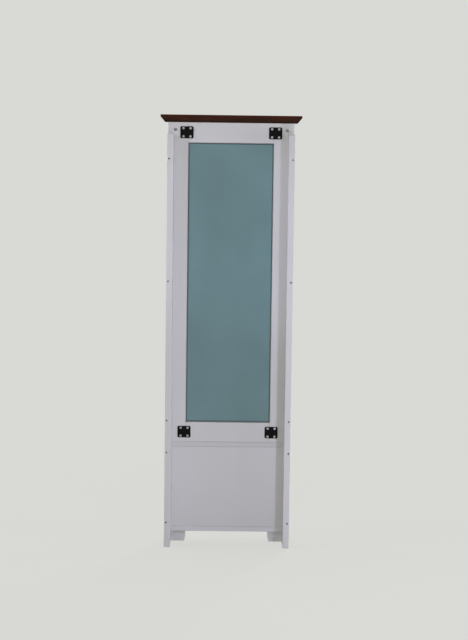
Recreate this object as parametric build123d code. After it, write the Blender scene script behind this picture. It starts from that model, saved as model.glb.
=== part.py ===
"""Tall, slim, free-standing mirror tower with an open back.

A mirror in a rabbeted stile-and-rail frame stands over a plain lower panel.  A bevelled wood cap lies on
the frame, a plinth with bracket feet stands in front, and two side boards on tapered feet stand behind.

Frame: +Z up, the mirror faces -Y, the open back faces +Y, left and right as seen facing the mirror
(left is -X).  The origin is on the floor, at the middle of the object's bounding box.  Millimetres.
"""
from build123d import *
import os

# Driving dimensions: the mirror frame
BODY_WIDTH = 370.0
STILE_WIDTH = 59.0
RAIL_HEIGHT = 59.0
MIRROR_BAY_HEIGHT = 829.0
FRAME_THICKNESS = 18.0
LIP_THICKNESS = 8.5
LIP_OVERLAP = 8.0
LIP_BEVEL = 6.0
EASED_EDGE = 0.8

# Driving dimensions: below the mirror frame
NARROW_RAIL_HEIGHT = 14.5
LOWER_PANEL_HEIGHT = 243.0
FLOOR_GAP = 34.0
PLINTH_THICKNESS = 18.0
PLINTH_HEIGHT = 92.0
PLINTH_BEVEL = 8.0
PLINTH_FOOT_WIDTH = 61.0
PLINTH_FOOT_TAPER = 3.5
PLINTH_TAPER_HEIGHT = 15.0

# Driving dimensions: the cap
CAP_THICKNESS = 22.0
CAP_LIP = 6.0
CAP_BEVEL_RUN = 13.5
CAP_UNDER_OVERHANG = 9.5

# Driving dimensions: the side boards behind the frame
SIDE_THICKNESS = 18.0
SIDE_DEPTH = 68.0
SIDE_DROP = 35.0
SIDE_FOOT_WIDTH = 15.0
SIDE_FOOT_TAPER = 6.0
SIDE_ARCH_HEIGHT = 30.0
SIDE_ARCH_RADIUS = 6.0
EDGE_HOLE_DIAMETER = 5.0
EDGE_HOLE_DEPTH = 22.0
EDGE_HOLE_INSET = 5.5
EDGE_HOLE_HEIGHTS = (74.0, 284.0, 379.0, 790.0, 1146.0)

# Driving dimensions: the mirror
GLASS_THICKNESS = 3.0
BACK_FILM_THICKNESS = 0.5
MIRROR_EDGE_GAP = 1.5
TAPE_THICKNESS = 1.0
TAPE_WIDTH = 4.5

# Driving dimensions: corner plates and screws
PLATE_WIDTH = 39.0
PLATE_HEIGHT = 35.0
PLATE_THICKNESS = 2.0
PLATE_CORNER_RADIUS = 4.5
PLATE_OUTWARD = 4.0
PLATE_SCREW_SPACING_X = 20.7
PLATE_SCREW_SPACING_Z = 24.0
PLATE_SCREW_HEAD = 6.8
PLATE_SCREW_RISE = 0.9
PLATE_SCREW_SHANK = 3.5
PLATE_SCREW_LENGTH = 12.0
STRAP_SCREW_HEAD = 9.5
STRAP_SCREW_HEAD_HEIGHT = 3.2
STRAP_SCREW_SHANK = 4.5
STRAP_SCREW_LENGTH = 14.0
STRAP_SCREW_FROM_EDGE = 21.0
STRAP_SCREW_FROM_TOP = 21.5
CROSS_WIDTH = 1.1
CROSS_DEPTH = 1.2
CROSS_SHARE = 0.62

# Driving dimensions: dowels
THICK_DOWEL = 8.0
THIN_DOWEL = 6.0
DOWEL_SEAT = 16.0
SHALLOW_SEAT = 10.0
DOWEL_END_ROOM = 0.5
HOLE_CLEARANCE = 0.1
RAIL_DOWEL_OFFSET = 21.0
ROW_DOWEL_SHARES = (-0.82, -0.32, 0.32, 0.82)
PLINTH_DOWEL_SHARES = (-0.66, -0.16, 0.16, 0.66)
SIDE_DOWEL_HEIGHTS = (90.0, 245.0, 410.0, 600.0, 790.0, 980.0, 1160.0)

# Levels from the floor up
BASE_RAIL_TOP = FLOOR_GAP + NARROW_RAIL_HEIGHT
PANEL_TOP = BASE_RAIL_TOP + LOWER_PANEL_HEIGHT
MID_RAIL_TOP = PANEL_TOP + NARROW_RAIL_HEIGHT
BAY_BOTTOM = MID_RAIL_TOP + RAIL_HEIGHT
BAY_TOP = BAY_BOTTOM + MIRROR_BAY_HEIGHT
FRAME_TOP = BAY_TOP + RAIL_HEIGHT
SIDE_TOP = FRAME_TOP - SIDE_DROP

# Places across the width
HALF_BODY = BODY_WIDTH / 2
SEAM_X = HALF_BODY - STILE_WIDTH
LIP_X = SEAM_X - LIP_OVERLAP
SIDE_INNER_X = HALF_BODY - SIDE_THICKNESS
SIDE_MID_X = HALF_BODY - SIDE_THICKNESS / 2

# Planes from the back to the front
CAP_OVERHANG = CAP_UNDER_OVERHANG + CAP_BEVEL_RUN
FRONT_REACH = max(CAP_OVERHANG, PLINTH_THICKNESS)
REAR_Y = (SIDE_DEPTH + FRAME_THICKNESS + FRONT_REACH) / 2
BACK_Y = REAR_Y - SIDE_DEPTH
FACE_Y = BACK_Y - FRAME_THICKNESS
LIP_Y = FACE_Y + LIP_THICKNESS
MID_Y = (BACK_Y + FACE_Y) / 2
LIP_MID_Y = (LIP_Y + FACE_Y) / 2
GLASS_FRONT_Y = LIP_Y + TAPE_THICKNESS
GLASS_BACK_Y = GLASS_FRONT_Y + GLASS_THICKNESS

SIDES = {"left": -1, "right": 1}


def block(x0, x1, y0, y1, z0, z1):
    """A box between two corners."""
    middle = Pos((x0 + x1) / 2, (y0 + y1) / 2, (z0 + z1) / 2)
    return middle * Box(abs(x1 - x0), abs(y1 - y0), abs(z1 - z0))


def rod(start, direction, diameter, length):
    """A cylinder that starts at a point and runs along a direction."""
    return extrude(Plane(start, z_dir=direction) * Circle(diameter / 2), length)


def dowel(joint, direction, diameter, seat_before, seat_after):
    """A round pin across a joint, seated by the two lengths before and after it."""
    start = Vector(*joint) - Vector(*direction) * seat_before
    return rod(start, direction, diameter, seat_before + seat_after)


def dowel_hole(joint, direction, diameter, seat_before, seat_after):
    """The bore for a dowel: a little wider, with room at both ends."""
    bore = diameter + 2 * HOLE_CLEARANCE
    return dowel(joint, direction, bore, seat_before + DOWEL_END_ROOM, seat_after + DOWEL_END_ROOM)


def dowel_set(joints, direction, diameter, seat_before, seat_after):
    """The pins and the bores of one row of joints."""
    pins = [dowel(p, direction, diameter, seat_before, seat_after) for p in joints]
    bores = [dowel_hole(p, direction, diameter, seat_before, seat_after) for p in joints]
    return pins, bores


def cross_recess(head_diameter, depth):
    """A Phillips cross, cut down from the level z = 0."""
    arm = head_diameter * CROSS_SHARE
    slot = Pos(0, 0, -depth / 2) * Box(arm, CROSS_WIDTH, depth)
    return slot + Rot(0, 0, 90) * slot


def domed_face(rim, crown, below):
    """Half of a turned outline: a low dome from the axis to the rim, then the points below it."""
    dome = RadiusArc((0, crown), (rim, 0), (rim**2 + crown**2) / (2 * crown))
    return make_face(dome + Polyline((rim, 0), *below, (0, crown)))


def countersunk_screw():
    """A raised countersunk screw with its head's rim at z = 0 and its shank along -Z."""
    rim = PLATE_SCREW_HEAD / 2
    shank = PLATE_SCREW_SHANK / 2
    tip = PLATE_THICKNESS + PLATE_SCREW_LENGTH
    below = ((shank, -PLATE_THICKNESS), (shank, -tip), (0, -tip))
    body = revolve(Plane.XZ * domed_face(rim, PLATE_SCREW_RISE, below), Axis.Z)
    return body - Pos(0, 0, PLATE_SCREW_RISE) * cross_recess(PLATE_SCREW_HEAD, PLATE_SCREW_RISE + CROSS_DEPTH)


def countersunk_bore():
    """The countersunk hole for that screw, a little wider all round."""
    rim = PLATE_SCREW_HEAD / 2 + HOLE_CLEARANCE
    shank = PLATE_SCREW_SHANK / 2 + HOLE_CLEARANCE
    tip = PLATE_THICKNESS + PLATE_SCREW_LENGTH + DOWEL_END_ROOM
    outline = Polyline((0, 0), (rim, 0), (shank, -PLATE_THICKNESS), (shank, -tip), (0, -tip), close=True)
    return revolve(Plane.XZ * make_face(outline), Axis.Z)


def pan_screw():
    """A domed-headed screw, seated at z = 0, with its shank along -Z."""
    shank = STRAP_SCREW_SHANK / 2
    tip = STRAP_SCREW_LENGTH
    crown = STRAP_SCREW_HEAD_HEIGHT
    below = ((shank, 0), (shank, -tip), (0, -tip))
    body = revolve(Plane.XZ * domed_face(STRAP_SCREW_HEAD / 2, crown, below), Axis.Z)
    return body - Pos(0, 0, crown) * cross_recess(STRAP_SCREW_HEAD, 2 * CROSS_DEPTH)


def pan_bore():
    """The straight hole for that screw, a little wider and longer than its shank."""
    bore = STRAP_SCREW_SHANK + 2 * HOLE_CLEARANCE
    return rod((0, 0, 0), (0, 0, -1), bore, STRAP_SCREW_LENGTH + DOWEL_END_ROOM)


def at_back(x, z, standing_off):
    """Lays a screw that points along -Z into the frame's back, at a place and a height off it."""
    return Plane((x, BACK_Y + standing_off, z), x_dir=(-1, 0, 0), z_dir=(0, 1, 0))


def ease(body, more_edges=()):
    """Takes the sharpness off the edges of a body's back face, and off any other edges given."""
    back_edges = body.faces().sort_by(Axis.Y)[-1].edges()
    return chamfer(list(back_edges) + list(more_edges), EASED_EDGE)


def bay_bevel():
    """The wedge-sided opening that bevels the lip's front edge, mitred at its corners."""
    middle_z = (BAY_BOTTOM + BAY_TOP) / 2
    width = 2 * LIP_X
    height = MIRROR_BAY_HEIGHT - 2 * LIP_OVERLAP
    back = Plane((0, FACE_Y + LIP_BEVEL, middle_z), x_dir=(1, 0, 0), z_dir=(0, -1, 0))
    front = Plane((0, FACE_Y, middle_z), x_dir=(1, 0, 0), z_dir=(0, -1, 0))
    small = back * Rectangle(width, height)
    large = front * Rectangle(width + 2 * LIP_BEVEL, height + 2 * LIP_BEVEL)
    return loft([small, large], ruled=True)


def stile(sign):
    """An upright of the frame: its front lip runs past the mirror's edge over its whole height."""
    back_layer = block(sign * SEAM_X, sign * HALF_BODY, LIP_Y, BACK_Y, MID_RAIL_TOP, FRAME_TOP)
    lip_layer = block(sign * LIP_X, sign * HALF_BODY, FACE_Y, LIP_Y, MID_RAIL_TOP, FRAME_TOP)
    upright = back_layer + lip_layer - bay_bevel()
    outer_front = upright.edges().filter_by(Axis.Z).sort_by(lambda e: sign * e.center().X - e.center().Y)[-1]
    return ease(upright, [outer_front])


def rail(outer_z, inner_z):
    """A cross rail: its back reaches the stiles' backs, and its front is coped to the stiles' lips."""
    towards_bay = 1 if inner_z > outer_z else -1
    lip_z = inner_z + towards_bay * LIP_OVERLAP
    back_layer = block(-SEAM_X, SEAM_X, LIP_Y, BACK_Y, outer_z, inner_z)
    lip_layer = block(-LIP_X, LIP_X, FACE_Y, LIP_Y, outer_z, lip_z)
    return ease(back_layer + lip_layer - bay_bevel())


def crosswise_board(z0, z1):
    """A board as wide as the body and as thick as the frame, between two heights."""
    board = block(-HALF_BODY, HALF_BODY, FACE_Y, BACK_Y, z0, z1)
    return ease(board, board.faces().sort_by(Axis.Y)[0].edges())


def cap():
    """The wood cap: a flat lip over a bevel on the front and both ends, with a straight back."""
    half_under = HALF_BODY + CAP_UNDER_OVERHANG
    half_over = HALF_BODY + CAP_OVERHANG
    front_under = FACE_Y - CAP_UNDER_OVERHANG
    front_over = FACE_Y - CAP_OVERHANG
    lip_z = FRAME_TOP + CAP_THICKNESS - CAP_LIP
    under = Pos(0, (BACK_Y + front_under) / 2, FRAME_TOP) * Rectangle(2 * half_under, BACK_Y - front_under)
    over = Pos(0, (BACK_Y + front_over) / 2, lip_z) * Rectangle(2 * half_over, BACK_Y - front_over)
    lip = block(-half_over, half_over, front_over, BACK_Y, lip_z, lip_z + CAP_LIP)
    board = loft([under, over], ruled=True) + lip
    return chamfer(board.faces().sort_by(Axis.Z)[-1].edges(), EASED_EDGE)


def plinth():
    """The front plinth: a board with a bevelled top edge and an arch between two bracket feet."""
    inner = HALF_BODY - PLINTH_FOOT_WIDTH
    heel = inner + PLINTH_FOOT_TAPER
    outline = Polyline(
        (HALF_BODY, 0), (HALF_BODY, PLINTH_HEIGHT), (-HALF_BODY, PLINTH_HEIGHT), (-HALF_BODY, 0),
        (-heel, 0), (-inner, PLINTH_TAPER_HEIGHT), (-inner, FLOOR_GAP),
        (inner, FLOOR_GAP), (inner, PLINTH_TAPER_HEIGHT), (heel, 0), close=True,
    )
    board = extrude(Plane.XZ.offset(-FACE_Y) * make_face(outline), PLINTH_THICKNESS)
    top_front = board.edges().filter_by(Axis.X).sort_by(lambda e: e.center().Z - e.center().Y)[-1]
    return chamfer(top_front, PLINTH_BEVEL)


def side_board(sign):
    """A board behind the frame, on two tapered feet with an arch between, and holes in its rear edge."""
    foot_front = BACK_Y + SIDE_FOOT_WIDTH
    foot_rear = REAR_Y - SIDE_FOOT_WIDTH
    outline = Polyline(
        (BACK_Y, 0), (foot_front, 0), (foot_front + SIDE_FOOT_TAPER, SIDE_ARCH_HEIGHT),
        (foot_rear - SIDE_FOOT_TAPER, SIDE_ARCH_HEIGHT), (foot_rear, 0), (REAR_Y, 0),
        (REAR_Y, SIDE_TOP), (BACK_Y, SIDE_TOP), close=True,
    )
    face = make_face(outline)
    arch_corners = face.vertices().group_by(Axis.Y)[1]
    face = fillet(arch_corners, SIDE_ARCH_RADIUS)
    near = min(sign * SIDE_INNER_X, sign * HALF_BODY)
    board = ease(Pos(near, 0, 0) * extrude(Plane.YZ * face, SIDE_THICKNESS))
    holes = [
        rod((sign * (HALF_BODY - EDGE_HOLE_INSET), REAR_Y, z), (0, -1, 0), EDGE_HOLE_DIAMETER, EDGE_HOLE_DEPTH)
        for z in EDGE_HOLE_HEIGHTS
    ]
    return board - holes


def mounting_tape():
    """Four strips of foam tape on the lip, which hold the glass."""
    inner_x = LIP_X + MIRROR_EDGE_GAP
    outer_x = inner_x + TAPE_WIDTH
    low = BAY_BOTTOM + LIP_OVERLAP - MIRROR_EDGE_GAP
    high = BAY_TOP - LIP_OVERLAP + MIRROR_EDGE_GAP
    uprights = [block(s * inner_x, s * outer_x, LIP_Y, GLASS_FRONT_Y, low, high) for s in SIDES.values()]
    below = block(-outer_x, outer_x, LIP_Y, GLASS_FRONT_Y, low - TAPE_WIDTH, low)
    above = block(-outer_x, outer_x, LIP_Y, GLASS_FRONT_Y, high, high + TAPE_WIDTH)
    return uprights + [below, above]


def mirror_layer(y0, y1):
    """One flat layer of the mirror, with a gap all round in its bay."""
    half = SEAM_X - MIRROR_EDGE_GAP
    return block(-half, half, y0, y1, BAY_BOTTOM + MIRROR_EDGE_GAP, BAY_TOP - MIRROR_EDGE_GAP)


def corner_plate(x, z):
    """A flat plate with rounded corners, laid on the frame's back over a stile's joint with a rail."""
    outline = RectangleRounded(PLATE_WIDTH, PLATE_HEIGHT, PLATE_CORNER_RADIUS)
    return ease(extrude(at_back(x, z, 0) * outline, PLATE_THICKNESS))


def plate_screw_places(x, z):
    """The four screw places of one corner plate."""
    dx = PLATE_SCREW_SPACING_X / 2
    dz = PLATE_SCREW_SPACING_Z / 2
    return [(x + i * dx, z + k * dz) for i in (-1, 1) for k in (-1, 1)]


def export(name, solids):
    """Writes one node: a solid, or a group of separate solids."""
    shape = Compound(children=solids) if isinstance(solids, list) else solids
    shape.label = name
    export_step(shape, f"parts/{name}.step")


# Dowels of each joint, with their bores
TOP_RAIL_MID = (BAY_TOP + FRAME_TOP) / 2
BOTTOM_RAIL_MID = (MID_RAIL_TOP + BAY_BOTTOM) / 2
row_x = [share * HALF_BODY for share in ROW_DOWEL_SHARES]
plinth_x = [share * HALF_BODY for share in PLINTH_DOWEL_SHARES]
rail_joints = [
    (sign * LIP_X, LIP_MID_Y, middle + k * RAIL_DOWEL_OFFSET)
    for sign in SIDES.values() for middle in (TOP_RAIL_MID, BOTTOM_RAIL_MID) for k in (-1, 1)
]
frame_pins, frame_bores = dowel_set(rail_joints, (1, 0, 0), THIN_DOWEL, 2 * SHALLOW_SEAT, 2 * SHALLOW_SEAT)
cap_joints = [(x, MID_Y, FRAME_TOP) for x in row_x]
cap_pins, cap_bores = dowel_set(cap_joints, (0, 0, 1), THICK_DOWEL, DOWEL_SEAT, SHALLOW_SEAT)
mid_joints = [(x, MID_Y, PANEL_TOP) for x in row_x]
mid_above = NARROW_RAIL_HEIGHT + DOWEL_SEAT
mid_pins, mid_bores = dowel_set(mid_joints, (0, 0, 1), THIN_DOWEL, DOWEL_SEAT, mid_above)
base_joints = [(x, MID_Y, BASE_RAIL_TOP) for x in row_x]
base_pins, base_bores = dowel_set(base_joints, (0, 0, 1), THIN_DOWEL, SHALLOW_SEAT, DOWEL_SEAT)
plinth_z = (BASE_RAIL_TOP + PLINTH_HEIGHT - PLINTH_BEVEL) / 2
plinth_joints = [(x, FACE_Y, plinth_z) for x in plinth_x]
plinth_pins, plinth_bores = dowel_set(plinth_joints, (0, 1, 0), THIN_DOWEL, SHALLOW_SEAT, SHALLOW_SEAT)

# Screws in the frame's back, with their bores
plate_places = {
    f"{level}_{side}": (sign * (SEAM_X + PLATE_OUTWARD), middle)
    for level, middle in (("top", TOP_RAIL_MID), ("bottom", BOTTOM_RAIL_MID))
    for side, sign in SIDES.items()
}
plate_spots = [spot for place in plate_places.values() for spot in plate_screw_places(*place)]
plate_bores = [at_back(x, z, PLATE_THICKNESS) * countersunk_bore() for x, z in plate_spots]
plate_screws = [at_back(x, z, PLATE_THICKNESS) * countersunk_screw() for x, z in plate_spots]
strap_x = HALF_BODY - STRAP_SCREW_FROM_EDGE
strap_spots = [(sign * strap_x, FRAME_TOP - STRAP_SCREW_FROM_TOP) for sign in SIDES.values()]
strap_bores = [at_back(x, z, 0) * pan_bore() for x, z in strap_spots]
strap_screws = [at_back(x, z, 0) * pan_screw() for x, z in strap_spots]

# Every node of the object
os.makedirs("parts", exist_ok=True)
frame_cuts = frame_bores + plate_bores
panel_back_bores = []

for side, sign in SIDES.items():
    side_joints = [(sign * SIDE_MID_X, BACK_Y, z) for z in SIDE_DOWEL_HEIGHTS]
    side_pins, side_bores = dowel_set(side_joints, (0, 1, 0), THICK_DOWEL, SHALLOW_SEAT, DOWEL_SEAT)
    panel_back_bores += side_bores
    export(f"{side}_side_board", side_board(sign) - side_bores)
    export(f"{side}_side_dowels", side_pins)
    export(f"{side}_stile", stile(sign) - (frame_cuts + cap_bores + mid_bores + strap_bores + side_bores))

for name, (x, z) in plate_places.items():
    export(f"{name}_corner_plate", corner_plate(x, z) - plate_bores)

export("top_rail", rail(FRAME_TOP, BAY_TOP) - (frame_cuts + cap_bores))
export("bottom_rail", rail(MID_RAIL_TOP, BAY_BOTTOM) - (frame_cuts + mid_bores))
export("mid_rail", crosswise_board(PANEL_TOP, MID_RAIL_TOP) - mid_bores)
panel_bores = mid_bores + base_bores + plinth_bores + panel_back_bores
export("lower_panel", crosswise_board(BASE_RAIL_TOP, PANEL_TOP) - panel_bores)
export("base_rail", crosswise_board(FLOOR_GAP, BASE_RAIL_TOP) - base_bores)
export("front_plinth", plinth() - plinth_bores)
export("top_cap", cap() - cap_bores)
export("mirror_glass", mirror_layer(GLASS_FRONT_Y, GLASS_BACK_Y))
export("mirror_back_film", mirror_layer(GLASS_BACK_Y, GLASS_BACK_Y + BACK_FILM_THICKNESS))
export("mirror_mounting_tape", mounting_tape())
export("corner_plate_screws", plate_screws)
export("strap_screws", strap_screws)
export("frame_dowels", frame_pins)
export("cap_dowels", cap_pins)
export("mid_rail_dowels", mid_pins)
export("base_rail_dowels", base_pins)
export("plinth_dowels", plinth_pins)
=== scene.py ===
"""Looks of a tall slim mirror tower: painted boards, dark cap, silvered mirror, plates and screws.

Lengths are in metres. Left and right of a lamp are as the photograph shows them, from behind the mirror.
"""
import math

import bpy
import numpy as np
from mathutils import Matrix, Vector


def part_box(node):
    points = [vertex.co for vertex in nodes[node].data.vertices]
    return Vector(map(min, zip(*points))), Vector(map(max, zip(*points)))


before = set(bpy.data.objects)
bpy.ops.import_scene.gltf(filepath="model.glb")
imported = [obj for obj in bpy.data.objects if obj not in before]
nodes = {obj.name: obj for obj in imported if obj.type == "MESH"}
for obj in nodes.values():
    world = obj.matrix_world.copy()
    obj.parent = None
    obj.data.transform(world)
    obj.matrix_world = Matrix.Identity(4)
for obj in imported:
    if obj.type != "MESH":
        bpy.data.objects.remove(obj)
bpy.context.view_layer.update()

MM = 0.001


def linear(red, green, blue):
    """A screen colour from 0 to 255 as linear light: c becomes ((c / 255 + 0.055) / 1.055) ** 2.4."""
    return tuple(((c / 255 + 0.055) / 1.055) ** 2.4 for c in (red, green, blue))


# Colours, as linear light

PAPER = (0.694, 0.701, 0.665)

WHITE_PALE = linear(198, 197, 204)
WHITE_DEEP = linear(193, 192, 199)
SIDE_PALE = linear(194, 193, 200)
SIDE_DEEP = linear(189, 188, 195)
MID_RAIL_PALE = linear(191, 190, 196)
MID_RAIL_DEEP = linear(187, 186, 192)
BASE_RAIL_PALE = linear(202, 201, 211)
BASE_RAIL_DEEP = linear(197, 196, 206)
PAINT_FIGURE = linear(186, 184, 188)
PAINT_SPECK = linear(150, 147, 146)
# Painted shade along the joints and board edges, standing in for the shade in the gaps between boards
JOINT_SHADE = linear(140, 137, 138)
RUBBED_PAINT = linear(150, 142, 132)
FLOOR_SCUFF = linear(122, 116, 110)
# Raw board core, darkened past its own colour as painted shade inside the holes
SHADED_BOARD_CORE = linear(84, 70, 58)

STAIN_DEEP = linear(36, 21, 12)
STAIN_PALE = linear(64, 37, 23)
STAIN_RED = linear(58, 24, 15)
STAIN_PORE = linear(22, 11, 8)
STAIN_PATCH = linear(28, 20, 14)
# Painted highlight along the cap's top and painted shade along its underside
CAP_TOP_HIGHLIGHT = linear(68, 27, 21)
CAP_UNDERSIDE_SHADE = linear(18, 10, 7)
RUBBED_STAIN = linear(108, 68, 48)

SILVER_CLEAN = linear(235, 239, 238)
SILVER_WIPED = linear(232, 237, 236)
COAT_DEEP = linear(102, 128, 134)
COAT_PALE = linear(108, 135, 142)
COAT_LINE = linear(97, 121, 126)
COAT_SPECK = linear(138, 160, 164)
# Painted shade round the coat's border, where it sits recessed in the frame
COAT_BORDER_SHADE = linear(58, 71, 75)

BLACK_DEEP = linear(6, 6, 7)
BLACK_PALE = linear(12, 12, 13)
BLACK_SPECK = linear(40, 40, 44)
RUBBED_STEEL = linear(92, 92, 96)
BRIGHT_ZINC = linear(204, 203, 199)
BRIGHT_ZINC_PATCH = linear(164, 164, 163)
DULL_ZINC = linear(166, 164, 159)
DULL_ZINC_PATCH = linear(138, 136, 133)
ZINC_MARK = linear(140, 138, 134)

FOAM_SKIN = linear(236, 235, 230)
FOAM_CELL = linear(205, 203, 196)
BEECH_PALE = linear(214, 182, 146)
BEECH_DEEP = linear(196, 158, 120)
BEECH_FLECK = linear(148, 106, 74)


# Node helpers

FLOAT = "NodeSocketFloat"
VECTOR = "NodeSocketVector"


def new_node(tree, kind, **values):
    """A shader node with its settings."""
    node = tree.nodes.new(kind)
    for name, value in values.items():
        setattr(node, name, value)
    return node


def put(node, **sockets):
    """Sets a node's inputs by name, underscores for spaces; a colour of three numbers gets an alpha of 1."""
    for name, value in sockets.items():
        socket = node.inputs[name.replace("_", " ")]
        if hasattr(socket.default_value, "__len__") and len(socket.default_value) == 4 and len(value) == 3:
            value = (*value, 1.0)
        socket.default_value = value
    return node


def group_tree(name, inputs, outputs):
    """An empty shader group with named inputs and number outputs, and its inlet and outlet nodes."""
    tree = bpy.data.node_groups.new(name, "ShaderNodeTree")
    for label, kind, value in inputs:
        socket = tree.interface.new_socket(label, in_out="INPUT", socket_type=kind)
        if value is not None:
            socket.default_value = value
    for label in outputs:
        tree.interface.new_socket(label, in_out="OUTPUT", socket_type=FLOAT)
    return tree, tree.nodes.new("NodeGroupInput"), tree.nodes.new("NodeGroupOutput")


def maths(tree, operation, first, second):
    """One Math node; each side is a number or an output socket."""
    node = new_node(tree, "ShaderNodeMath", operation=operation)
    for slot, side in enumerate((first, second)):
        if isinstance(side, (int, float)):
            node.inputs[slot].default_value = side
        else:
            tree.links.new(side, node.inputs[slot])
    return node.outputs[0]


def spread(tree, value, old_range, new_range):
    """Maps a value from one range to another, held at both ends."""
    node = new_node(tree, "ShaderNodeMapRange", clamp=True)
    for slot, number in enumerate((*old_range, *new_range), start=1):
        node.inputs[slot].default_value = number
    tree.links.new(value, node.inputs[0])
    return node.outputs[0]


def blend(tree, share, first, second):
    """Mixes two colours by a share; each is a linear colour or an output socket."""
    node = new_node(tree, "ShaderNodeMix", data_type="RGBA")
    for slot, side in ((0, share), (6, first), (7, second)):
        if isinstance(side, tuple):
            node.inputs[slot].default_value = (*side, 1.0)
        else:
            tree.links.new(side, node.inputs[slot])
    return node.outputs[2]


def lay(tree, under, mask, most, over):
    """Lays a colour over another one where a mask is one, at most by the given share."""
    return blend(tree, maths(tree, "MULTIPLY", mask, most), under, over)


def noise(tree, vector, scale, detail, rough, distortion=0.0):
    """A noise value on a vector; the scale is the number of features to one unit of that vector."""
    node = new_node(tree, "ShaderNodeTexNoise")
    put(node, Scale=scale, Detail=detail, Roughness=rough, Distortion=distortion)
    tree.links.new(vector, node.inputs["Vector"])
    return node.outputs["Fac"]


def stretched(tree, vector, scale, turn=(0.0, 0.0, 0.0)):
    """Coordinates scaled along each axis; a pattern runs along the axis with the smallest number."""
    node = new_node(tree, "ShaderNodeMapping")
    put(node, Scale=scale, Rotation=turn)
    tree.links.new(vector, node.inputs["Vector"])
    return node.outputs["Vector"]


def axes_of(tree, place):
    """The X, Y and Z outputs of a vector."""
    node = new_node(tree, "ShaderNodeSeparateXYZ")
    tree.links.new(place, node.inputs[0])
    return node.outputs


def least_distance(tree, along, near, far):
    """Distance from a coordinate to the nearer of two ends."""
    past_near = maths(tree, "SUBTRACT", along, near)
    before_far = maths(tree, "SUBTRACT", far, along)
    return maths(tree, "MINIMUM", past_near, before_far)


# Effects that several finishes share

def make_edge_shade_and_wear():
    """Edge mask for painted shade: how far the normal of a rounded edge turns from the flat one; broken up
    by noise, for wear.
    """
    tree, inlet, outlet = group_tree(
        "edge_shade_and_wear",
        inputs=[("Vector", VECTOR, None), ("Width", FLOAT, 1.0 * MM), ("Break", FLOAT, 60.0)],
        outputs=["Edge", "Worn"],
    )
    rounded = new_node(tree, "ShaderNodeBevel", samples=6)
    tree.links.new(inlet.outputs["Width"], rounded.inputs["Radius"])
    flat = new_node(tree, "ShaderNodeNewGeometry")
    turn = new_node(tree, "ShaderNodeVectorMath", operation="DOT_PRODUCT")
    tree.links.new(rounded.outputs[0], turn.inputs[0])
    tree.links.new(flat.outputs["Normal"], turn.inputs[1])
    edge = spread(tree, turn.outputs["Value"], (0.995, 0.86), (0.0, 1.0))
    chips = put(new_node(tree, "ShaderNodeTexNoise"), Detail=4.0, Roughness=0.6)
    tree.links.new(inlet.outputs["Vector"], chips.inputs["Vector"])
    tree.links.new(inlet.outputs["Break"], chips.inputs["Scale"])
    worn = maths(tree, "MULTIPLY", edge, spread(tree, chips.outputs["Fac"], (0.52, 0.68), (0.0, 1.0)))
    tree.links.new(edge, outlet.inputs["Edge"])
    tree.links.new(worn, outlet.inputs["Worn"])
    return tree


def make_two_noises(name, rows, rough, distortion):
    """Two noises of different size; a row has the input, its scale, the output, its range and its detail."""
    tree, inlet, outlet = group_tree(
        name,
        inputs=[("Vector", VECTOR, None)] + [(row[0], FLOAT, row[1]) for row in rows],
        outputs=[row[2] for row in rows],
    )
    for size, _, label, kept_range, detail in rows:
        cloud = new_node(tree, "ShaderNodeTexNoise")
        put(cloud, Detail=detail, Roughness=rough, Distortion=distortion)
        tree.links.new(inlet.outputs["Vector"], cloud.inputs["Vector"])
        tree.links.new(inlet.outputs[size], cloud.inputs["Scale"])
        tree.links.new(spread(tree, cloud.outputs["Fac"], kept_range, (0.0, 1.0)), outlet.inputs[label])
    return tree


EDGE_SHADE_AND_WEAR = make_edge_shade_and_wear()

# Slow drift of tone over a surface, and fine specks
TONE = make_two_noises(
    "tone",
    [("Drift Scale", 4.0, "Drift", (0.3, 0.7), 3.0), ("Speck Scale", 420.0, "Specks", (0.66, 0.8), 2.0)],
    rough=0.5,
    distortion=0.0,
)

# Long streaks and short pores, for stretched coordinates
WOOD_GRAIN = make_two_noises(
    "wood_grain",
    [("Streaks", 1.0, "Figure", (0.28, 0.72), 6.0), ("Pores", 6.0, "Pore", (0.56, 0.72), 2.0)],
    rough=0.62,
    distortion=0.25,
)


def effect(tree, shared, vector, **values):
    """Places a shared effect in a material with its own values; returns its outputs."""
    node = new_node(tree, "ShaderNodeGroup", node_tree=shared)
    tree.links.new(vector, node.inputs["Vector"])
    return put(node, **values).outputs


def finish_of(name):
    """A new material with its node tree, its surface shader and Object coordinates."""
    material = bpy.data.materials.new(name)
    material.use_nodes = True
    tree = material.node_tree
    place = new_node(tree, "ShaderNodeTexCoord").outputs["Object"]
    return material, tree, tree.nodes["Principled BSDF"], place


def surface(tree, shader, colour, roughness):
    """Joins a colour and a roughness to the surface shader."""
    tree.links.new(colour, shader.inputs["Base Color"])
    tree.links.new(roughness, shader.inputs["Roughness"])


def relief(tree, shader, height, depth):
    """A bump of the given depth on the shader's normal."""
    bump = put(new_node(tree, "ShaderNodeBump"), Strength=1.0, Distance=depth)
    tree.links.new(height, bump.inputs["Height"])
    tree.links.new(bump.outputs["Normal"], shader.inputs["Normal"])


# Finishes

# Depth of a side board's outer skin along X, Y and Z, and the share of it where the core starts to show
BOARD_SKIN = (1.4 * MM, 1.2 * MM, 40.0 * MM)
CORE_START = 0.6

# Heights over the floor between which scuffs fade out
SCUFF_HEIGHTS = (0.0, 50.0 * MM)

# Bands of the cap's painted highlight and painted shade: drops from its top, and rises from its underside
CAP_HIGHLIGHT_DROPS = (8.0 * MM, 3.0 * MM)
CAP_SHADE_RISES = (2.0 * MM, 6.0 * MM)

# Distances from the edges of the mirror's back coat over which the painted shade round its border fades out
BORDER_SHADE_FADE = (1.0 * MM, 3.6 * MM)


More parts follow.
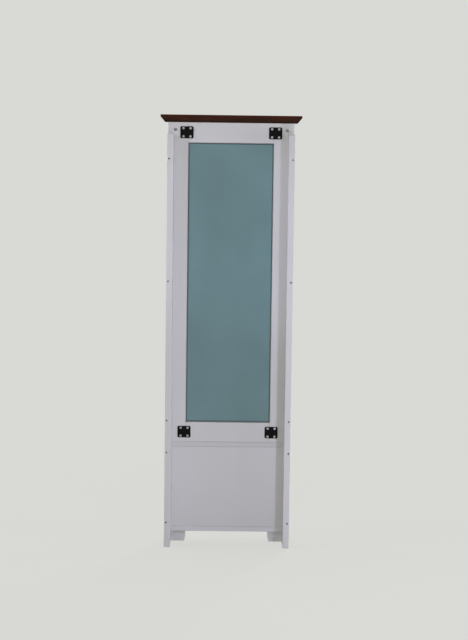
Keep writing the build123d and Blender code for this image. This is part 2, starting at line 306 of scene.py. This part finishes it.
def drilled_core(tree, place, low, high):
    """One inside a side board, as on the walls of its holes, and zero on its skin; low and high are its box.

    X is taken without its sign, so that the right board's box serves the left board too.
    """
    along = axes_of(tree, place)
    reaches = (maths(tree, "ABSOLUTE", along["X"], 0.0), along["Y"], along["Z"])
    shares = []
    for reach, near, far, skin in zip(reaches, low, high, BOARD_SKIN):
        depth = least_distance(tree, reach, near, far)
        shares.append(spread(tree, depth, (CORE_START * skin, skin), (0.0, 1.0)))
    across = maths(tree, "MULTIPLY", shares[0], shares[1])
    return maths(tree, "MULTIPLY", across, shares[2])


def painted_board(name, along, pale, deep, joint_shade, core=None):
    """Satin white paint on board: roller stipple, faint grain, painted shade along the joints, scuffs by the
    floor.
    """
    material, tree, shader, place = finish_of(name)
    put(shader, IOR=1.46, Specular_IOR_Level=0.4)
    grain = effect(tree, WOOD_GRAIN, stretched(tree, place, along), Streaks=1.0, Pores=4.0)
    tone = effect(tree, TONE, place, Drift_Scale=3.2, Speck_Scale=520.0)
    edge = effect(tree, EDGE_SHADE_AND_WEAR, place, Width=1.2 * MM, Break=70.0)
    paint = blend(tree, tone["Drift"], deep, pale)
    paint = lay(tree, paint, grain["Figure"], 0.10, PAINT_FIGURE)
    paint = lay(tree, paint, tone["Specks"], 0.10, PAINT_SPECK)
    # Painted shade along the joints and edges of the board
    paint = lay(tree, paint, edge["Edge"], joint_shade, JOINT_SHADE)
    paint = lay(tree, paint, edge["Worn"], 0.3, RUBBED_PAINT)
    near_floor = spread(tree, axes_of(tree, place)["Z"], SCUFF_HEIGHTS, (1.0, 0.0))
    scuffs = noise(tree, stretched(tree, place, (1.0, 1.0, 3.0)), scale=46.0, detail=5.0, rough=0.65)
    scuffed = maths(tree, "MULTIPLY", near_floor, spread(tree, scuffs, (0.5, 0.75), (0.0, 0.4)))
    paint = blend(tree, scuffed, paint, FLOOR_SCUFF)
    # Raw board core on the walls of the drilled holes, darkened as painted shade in them
    if core is not None:
        paint = blend(tree, drilled_core(tree, place, *core), paint, SHADED_BOARD_CORE)
    stipple = noise(tree, place, scale=620.0, detail=3.0, rough=0.6)
    surface(tree, shader, paint, spread(tree, stipple, (0.3, 0.7), (0.38, 0.5)))
    raised = maths(tree, "MULTIPLY", stipple, 0.6)
    sunken = maths(tree, "MULTIPLY", grain["Pore"], -0.25)
    relief(tree, shader, maths(tree, "ADD", raised, sunken), 0.12 * MM)
    return material


def stained_cap(name):
    """Dark red-brown stain under satin lacquer: streaked and patchy, with a painted highlight on top and
    painted shade underneath.
    """
    material, tree, shader, place = finish_of(name)
    put(shader, IOR=1.5, Specular_IOR_Level=0.1)
    streaks = stretched(tree, place, (7.0, 120.0, 150.0))
    bands = stretched(tree, place, (0.6, 12.0, 18.0))
    grain = effect(tree, WOOD_GRAIN, streaks, Streaks=1.0, Pores=3.5)
    tone = effect(tree, TONE, bands, Drift_Scale=11.0, Speck_Scale=380.0)
    edge = effect(tree, EDGE_SHADE_AND_WEAR, place, Width=1.6 * MM, Break=55.0)
    wood = blend(tree, grain["Figure"], STAIN_DEEP, STAIN_PALE)
    wood = lay(tree, wood, tone["Drift"], 0.5, STAIN_RED)
    wood = lay(tree, wood, grain["Pore"], 0.6, STAIN_PORE)
    patches = noise(tree, stretched(tree, place, (1.0, 7.0, 4.0)), scale=24.0, detail=3.0, rough=0.55)
    wood = blend(tree, spread(tree, patches, (0.42, 0.66), (0.0, 0.7)), wood, STAIN_PATCH)
    low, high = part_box("top_cap")
    height = axes_of(tree, place)["Z"]
    # Painted highlight along the top of the cap, painted shade along its underside
    upper = spread(tree, height, [high[2] - drop for drop in CAP_HIGHLIGHT_DROPS], (0.0, 0.6))
    lower = spread(tree, height, [low[2] + rise for rise in CAP_SHADE_RISES], (0.9, 0.0))
    wood = blend(tree, upper, wood, CAP_TOP_HIGHLIGHT)
    wood = blend(tree, lower, wood, CAP_UNDERSIDE_SHADE)
    wood = lay(tree, wood, edge["Worn"], 0.55, RUBBED_STAIN)
    surface(tree, shader, wood, spread(tree, grain["Figure"], (0.0, 1.0), (0.5, 0.36)))
    relief(tree, shader, maths(tree, "MULTIPLY", grain["Pore"], -1.0), 0.25 * MM)
    return material


def silvered_mirror(name):
    """Silvered glass: a clean reflection with faint wiping marks in its gloss."""
    material, tree, shader, place = finish_of(name)
    put(shader, Metallic=1.0)
    strokes = stretched(tree, place, (3.0, 1.0, 1.2), turn=(0.0, 0.5, 0.0))
    wiped = noise(tree, strokes, scale=9.0, detail=5.0, rough=0.6, distortion=0.6)
    silver = blend(tree, spread(tree, wiped, (0.35, 0.7), (0.0, 1.0)), SILVER_CLEAN, SILVER_WIPED)
    surface(tree, shader, silver, spread(tree, wiped, (0.45, 0.8), (0.012, 0.03)))
    return material


def border_of(tree, place, low, high, fade):
    """One at a sheet's four edges, zero inside them: the least of the four distances to the edges."""
    along = axes_of(tree, place)
    across = least_distance(tree, along["X"], low[0], high[0])
    upward = least_distance(tree, along["Z"], low[2], high[2])
    return spread(tree, maths(tree, "MINIMUM", across, upward), fade, (1.0, 0.0))


def mirror_back_coat(name):
    """Blue-green protective coat: slow mottling, faint cross lines, pin specks and painted shade round its
    border.
    """
    material, tree, shader, place = finish_of(name)
    put(shader, IOR=1.47, Specular_IOR_Level=0.35)
    tone = effect(tree, TONE, place, Drift_Scale=7.0, Speck_Scale=300.0)
    lines = noise(tree, stretched(tree, place, (1.5, 1.0, 150.0)), scale=1.0, detail=3.0, rough=0.5)
    coat = blend(tree, tone["Drift"], COAT_DEEP, COAT_PALE)
    coat = blend(tree, spread(tree, lines, (0.4, 0.75), (0.0, 0.14)), coat, COAT_LINE)
    coat = lay(tree, coat, tone["Specks"], 0.35, COAT_SPECK)
    low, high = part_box("mirror_back_film")
    # Painted shade round the border of the coat
    coat = blend(tree, border_of(tree, place, low, high, BORDER_SHADE_FADE), coat, COAT_BORDER_SHADE)
    surface(tree, shader, coat, spread(tree, lines, (0.3, 0.7), (0.42, 0.56)))
    relief(tree, shader, noise(tree, place, scale=240.0, detail=4.0, rough=0.55), 0.1 * MM)
    return material


def powder_coat(name):
    """Black powder coat: fine pebbled skin, steel grey where the edges are rubbed."""
    material, tree, shader, place = finish_of(name)
    put(shader, IOR=1.5, Specular_IOR_Level=0.1)
    edge = effect(tree, EDGE_SHADE_AND_WEAR, place, Width=0.7 * MM, Break=300.0)
    tone = effect(tree, TONE, place, Drift_Scale=60.0, Speck_Scale=900.0)
    black = blend(tree, tone["Drift"], BLACK_DEEP, BLACK_PALE)
    black = lay(tree, black, tone["Specks"], 0.3, BLACK_SPECK)
    black = lay(tree, black, edge["Worn"], 0.5, RUBBED_STEEL)
    pebble = noise(tree, place, scale=1300.0, detail=2.0, rough=0.5)
    surface(tree, shader, black, spread(tree, pebble, (0.3, 0.7), (0.4, 0.56)))
    relief(tree, shader, pebble, 0.15 * MM)
    return material


def zinc_plate(name, plain, patch):
    """Zinc plate between two tones: grey metal with duller patches and fine handling marks."""
    material, tree, shader, place = finish_of(name)
    put(shader, Metallic=1.0)
    patches = noise(tree, place, scale=700.0, detail=4.0, rough=0.6)
    strokes = stretched(tree, place, (1.0, 1.0, 9.0), turn=(0.0, 0.6, 0.0))
    marks = noise(tree, strokes, scale=900.0, detail=3.0, rough=0.6)
    zinc = blend(tree, spread(tree, patches, (0.35, 0.7), (0.0, 1.0)), plain, patch)
    zinc = blend(tree, spread(tree, marks, (0.6, 0.75), (0.0, 0.5)), zinc, ZINC_MARK)
    surface(tree, shader, zinc, spread(tree, patches, (0.3, 0.7), (0.24, 0.42)))
    relief(tree, shader, marks, 0.03 * MM)
    return material


def foam_tape(name):
    """White foam tape: closed cells in its cut edge."""
    material, tree, shader, place = finish_of(name)
    put(shader, Specular_IOR_Level=0.2)
    cells = put(new_node(tree, "ShaderNodeTexVoronoi"), Scale=1400.0)
    tree.links.new(place, cells.inputs["Vector"])
    hollow = spread(tree, cells.outputs["Distance"], (0.1, 0.6), (0.0, 1.0))
    foam = blend(tree, hollow, FOAM_SKIN, FOAM_CELL)
    surface(tree, shader, foam, spread(tree, hollow, (0.0, 1.0), (0.7, 0.9)))
    relief(tree, shader, hollow, 0.2 * MM)
    return material


def bare_beech(name, along):
    """Bare beech: pale tan with short darker flecks along the pin."""
    material, tree, shader, place = finish_of(name)
    put(shader, Specular_IOR_Level=0.3)
    grain = effect(tree, WOOD_GRAIN, stretched(tree, place, along), Streaks=1.0, Pores=5.0)
    beech = blend(tree, grain["Figure"], BEECH_PALE, BEECH_DEEP)
    beech = lay(tree, beech, grain["Pore"], 0.7, BEECH_FLECK)
    surface(tree, shader, beech, spread(tree, grain["Figure"], (0.0, 1.0), (0.55, 0.7)))
    relief(tree, shader, grain["Pore"], 0.15 * MM)
    return material


# Grain of boards and pins: streaks to a metre along X, Y and Z
BOARD_UPRIGHT = (130.0, 130.0, 6.0)
BOARD_CROSSWISE = (6.0, 130.0, 130.0)
PIN_UPRIGHT = (300.0, 300.0, 60.0)
PIN_CROSSWISE = (60.0, 300.0, 300.0)
PIN_DEEP = (300.0, 60.0, 300.0)

stile_paint = painted_board("white_paint_upright", BOARD_UPRIGHT, WHITE_PALE, WHITE_DEEP, joint_shade=0.25)
rail_paint = painted_board("white_paint_crosswise", BOARD_CROSSWISE, WHITE_PALE, WHITE_DEEP, joint_shade=0.8)
mid_rail_paint = painted_board(
    "white_paint_strip", BOARD_CROSSWISE, MID_RAIL_PALE, MID_RAIL_DEEP, joint_shade=0.8)
base_rail_paint = painted_board(
    "white_paint_base", BOARD_CROSSWISE, BASE_RAIL_PALE, BASE_RAIL_DEEP, joint_shade=0.3)
side_paint = painted_board(
    "white_paint_side", BOARD_UPRIGHT, SIDE_PALE, SIDE_DEEP, joint_shade=0.06, core=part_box("right_side_board"))
plate_black = powder_coat("black_plate")
upright_beech = bare_beech("bare_dowel_upright", PIN_UPRIGHT)
crosswise_beech = bare_beech("bare_dowel_crosswise", PIN_CROSSWISE)
deep_beech = bare_beech("bare_dowel_deep", PIN_DEEP)

FINISHES = {
    "left_stile": stile_paint,
    "right_stile": stile_paint,
    "left_side_board": side_paint,
    "right_side_board": side_paint,
    "top_rail": rail_paint,
    "bottom_rail": rail_paint,
    "mid_rail": mid_rail_paint,
    "lower_panel": rail_paint,
    "base_rail": base_rail_paint,
    "front_plinth": rail_paint,
    "top_cap": stained_cap("dark_wood"),
    "mirror_glass": silvered_mirror("mirror"),
    "mirror_back_film": mirror_back_coat("mirror_backing"),
    "mirror_mounting_tape": foam_tape("foam_tape"),
    "top_left_corner_plate": plate_black,
    "top_right_corner_plate": plate_black,
    "bottom_left_corner_plate": plate_black,
    "bottom_right_corner_plate": plate_black,
    "corner_plate_screws": zinc_plate("zinc_screw_bright", BRIGHT_ZINC, BRIGHT_ZINC_PATCH),
    "strap_screws": zinc_plate("zinc_screw_dull", DULL_ZINC, DULL_ZINC_PATCH),
    "frame_dowels": crosswise_beech,
    "cap_dowels": upright_beech,
    "mid_rail_dowels": upright_beech,
    "base_rail_dowels": upright_beech,
    "plinth_dowels": deep_beech,
    "left_side_dowels": deep_beech,
    "right_side_dowels": deep_beech,
}
for name, material in FINISHES.items():
    slots = nodes[name].data.materials
    slots.clear()
    slots.append(material)


# Floor and background

FLOOR_TURNS = 64
FLOOR_RADII = np.array([0.5, 2.0, 8.0, 40.0])

# Between these two distances from the middle, the floor's share of its own colour grows, and shadows fade
FADE_REACH = (0.25, 1.5)
OWN_COLOUR = (0.84, 1.0)


def floor_disc():
    """A wide round floor: a fan of triangles in the middle and rings of growing radius around it."""
    angle = np.linspace(0.0, 2 * math.pi, FLOOR_TURNS, endpoint=False)
    ring, around = np.meshgrid(FLOOR_RADII, angle, indexing="ij")
    rim = np.stack([ring * np.cos(around), ring * np.sin(around), np.zeros_like(ring)], axis=-1)
    points = np.r_[np.zeros((1, 3)), rim.reshape(-1, 3)]
    here = np.arange(FLOOR_TURNS)
    after = (here + 1) % FLOOR_TURNS
    centre = np.stack([np.zeros_like(here), 1 + here, 1 + after], axis=-1)
    inner = 1 + FLOOR_TURNS * np.arange(len(FLOOR_RADII) - 1)[:, None]
    outer = inner + FLOOR_TURNS
    bands = np.stack([inner + here, outer + here, outer + after, inner + after], axis=-1)
    mesh = bpy.data.meshes.new("floor")
    mesh.from_pydata(points.tolist(), [], centre.tolist() + bands.reshape(-1, 4).tolist())
    disc = bpy.data.objects.new("floor", mesh)
    bpy.context.scene.collection.objects.link(disc)
    return disc


def seen_rays(tree):
    """One for rays from the camera, a reflection or glass, zero for the light that falls on things."""
    path = new_node(tree, "ShaderNodeLightPath")
    seen = maths(tree, "MAXIMUM", path.outputs["Is Camera Ray"], path.outputs["Is Glossy Ray"])
    return maths(tree, "MAXIMUM", seen, path.outputs["Is Transmission Ray"])


def pale_floor(name):
    """Pale matt floor that shows mostly its own colour, to meet the background, and a soft shadow."""
    material = bpy.data.materials.new(name)
    material.use_nodes = True
    tree = material.node_tree
    tree.nodes.clear()
    out = new_node(tree, "ShaderNodeOutputMaterial")
    matt = put(new_node(tree, "ShaderNodeBsdfDiffuse"), Color=PAPER)
    glow = put(new_node(tree, "ShaderNodeEmission"), Color=PAPER, Strength=1.0)
    mix = new_node(tree, "ShaderNodeMixShader")
    reach = new_node(tree, "ShaderNodeVectorMath", operation="LENGTH")
    tree.links.new(new_node(tree, "ShaderNodeTexCoord").outputs["Object"], reach.inputs[0])
    share = spread(tree, reach.outputs["Value"], FADE_REACH, OWN_COLOUR)
    tree.links.new(maths(tree, "MULTIPLY", seen_rays(tree), share), mix.inputs[0])
    tree.links.new(matt.outputs[0], mix.inputs[1])
    tree.links.new(glow.outputs[0], mix.inputs[2])
    tree.links.new(mix.outputs[0], out.inputs[0])
    return material


floor = floor_disc()
floor.data.materials.append(pale_floor("floor"))


# Light

AIM_HEIGHT = 0.8
BEAM_BLEND = 0.6
BEAM_RADIUS = 0.1
COOL = (0.76, 0.80, 1.0)
FAINTLY_COOL = (0.92, 0.93, 1.0)
WARM = (1.0, 0.95, 0.66)
NEUTRAL = (1.0, 0.99, 0.97)
SKY = (0.98, 0.99, 1.0)
WORLD_TINT = (1.0, 0.96, 0.92)
WORLD_STRENGTH = 0.07


def hang(data, azimuth, elevation, distance, height, power, tint):
    """Hangs a lamp by angles from the photograph's side, turned to a height on the object's middle line."""
    a = math.radians(azimuth)
    e = math.radians(elevation)
    way = Vector((-math.sin(a) * math.cos(e), math.cos(a) * math.cos(e), math.sin(e)))
    data.energy = power
    data.color = tint
    light = bpy.data.objects.new(data.name, data)
    light.location = Vector((0.0, 0.0, height)) + way * distance
    light.rotation_euler = way.to_track_quat("Z", "Y").to_euler()
    bpy.context.scene.collection.objects.link(light)
    return light


def lamp(name, azimuth, elevation, distance, size, power, tint):
    """A square soft lamp, turned to a point a little above the object's middle."""
    data = bpy.data.lights.new(name, "AREA")
    data.shape = "SQUARE"
    data.size = size
    return hang(data, azimuth, elevation, distance, AIM_HEIGHT, power, tint)


def beam(name, azimuth, elevation, distance, height, half_angle, power, tint):
    """A soft-edged beam that lights one stretch of the object's height."""
    data = bpy.data.lights.new(name, "SPOT")
    data.spot_size = math.radians(2 * half_angle)
    data.spot_blend = BEAM_BLEND
    data.shadow_soft_size = BEAM_RADIUS
    return hang(data, azimuth, elevation, distance, height, power, tint)


def studio_world():
    """Faint warm light from all round; the camera, metal and glass see the pale background instead."""
    world = bpy.data.worlds.new("studio")
    bpy.context.scene.world = world
    world.use_nodes = True
    tree = world.node_tree
    around = put(tree.nodes["Background"], Color=WORLD_TINT, Strength=WORLD_STRENGTH)
    backdrop = put(new_node(tree, "ShaderNodeBackground"), Color=PAPER, Strength=1.0)
    mix = new_node(tree, "ShaderNodeMixShader")
    tree.links.new(seen_rays(tree), mix.inputs[0])
    tree.links.new(around.outputs[0], mix.inputs[1])
    tree.links.new(backdrop.outputs[0], mix.inputs[2])
    tree.links.new(mix.outputs[0], tree.nodes["World Output"].inputs[0])


# A lamp has a name, azimuth and elevation in degrees, distance, size, power in watts and tint.
# A beam has a height and a half angle in degrees in place of the size.
# The right key alone shows in reflections.
lamp("right_key", 19.0, 20.0, 4.0, 0.16, 14.5, COOL)
soft = [
    lamp("right_low_key", 24.0, -14.0, 1.4, 0.10, 4.16, COOL),
    lamp("left_key", -15.0, 16.0, 4.0, 0.16, 4.3, COOL),
    beam("left_beam", -36.0, 10.0, 3.0, 0.93, 6.2, 63.0, COOL),
    lamp("right_side_fill", 72.0, 0.0, 2.2, 0.8, 20.4, FAINTLY_COOL),
    lamp("left_side_fill", -74.0, 32.0, 2.0, 0.6, 17.0, FAINTLY_COOL),
    lamp("high_fill", 0.0, 32.0, 2.4, 0.5, 3.7, WARM),
    lamp("camera_fill", 0.0, 4.0, 4.8, 0.6, 44.0, WARM),
    lamp("right_flank", 108.0, 16.0, 4.0, 1.2, 24.0, NEUTRAL),
    lamp("left_flank", -108.0, 16.0, 4.0, 1.2, 45.0, NEUTRAL),
    lamp("mirror_side_key", 155.0, 30.0, 4.2, 1.0, 80.0, NEUTRAL),
    lamp("mirror_side_fill", 212.0, 22.0, 4.6, 2.0, 50.0, SKY),
]
for light in soft:
    light.visible_glossy = False
studio_world()


# Camera, fitted to the photograph

CAMERA_PLACE = (0.0195, 4.7100, 1.1346)
CAMERA_YAW = math.radians(0.418)
CAMERA_PITCH = math.radians(5.591)
CAMERA_ROLL = math.radians(0.746)
LENS_IN_MM = 90.0
SENSOR_IN_MM = 36.0
FARTHEST_SEEN = 60.0


def photograph_camera():
    """The photograph's view: a long lens behind the tower, level with its upper part, tilted a little."""
    level_ahead = Vector((-math.sin(CAMERA_YAW), -math.cos(CAMERA_YAW), 0.0))
    ahead = level_ahead * math.cos(CAMERA_PITCH) - Vector((0.0, 0.0, math.sin(CAMERA_PITCH)))
    level = ahead.cross(Vector((0.0, 0.0, 1.0))).normalized()
    above = level.cross(ahead)
    right = level * math.cos(CAMERA_ROLL) + above * math.sin(CAMERA_ROLL)
    up = above * math.cos(CAMERA_ROLL) - level * math.sin(CAMERA_ROLL)
    data = bpy.data.cameras.new("photograph")
    data.sensor_fit = "VERTICAL"
    data.sensor_height = SENSOR_IN_MM
    data.lens = LENS_IN_MM
    data.clip_end = FARTHEST_SEEN
    camera = bpy.data.objects.new("photograph", data)
    turn = Matrix((right, up, -ahead)).transposed().to_4x4()
    camera.matrix_world = Matrix.Translation(CAMERA_PLACE) @ turn
    bpy.context.scene.collection.objects.link(camera)
    bpy.context.scene.camera = camera


photograph_camera()
bpy.context.scene.view_settings.view_transform = "Standard"
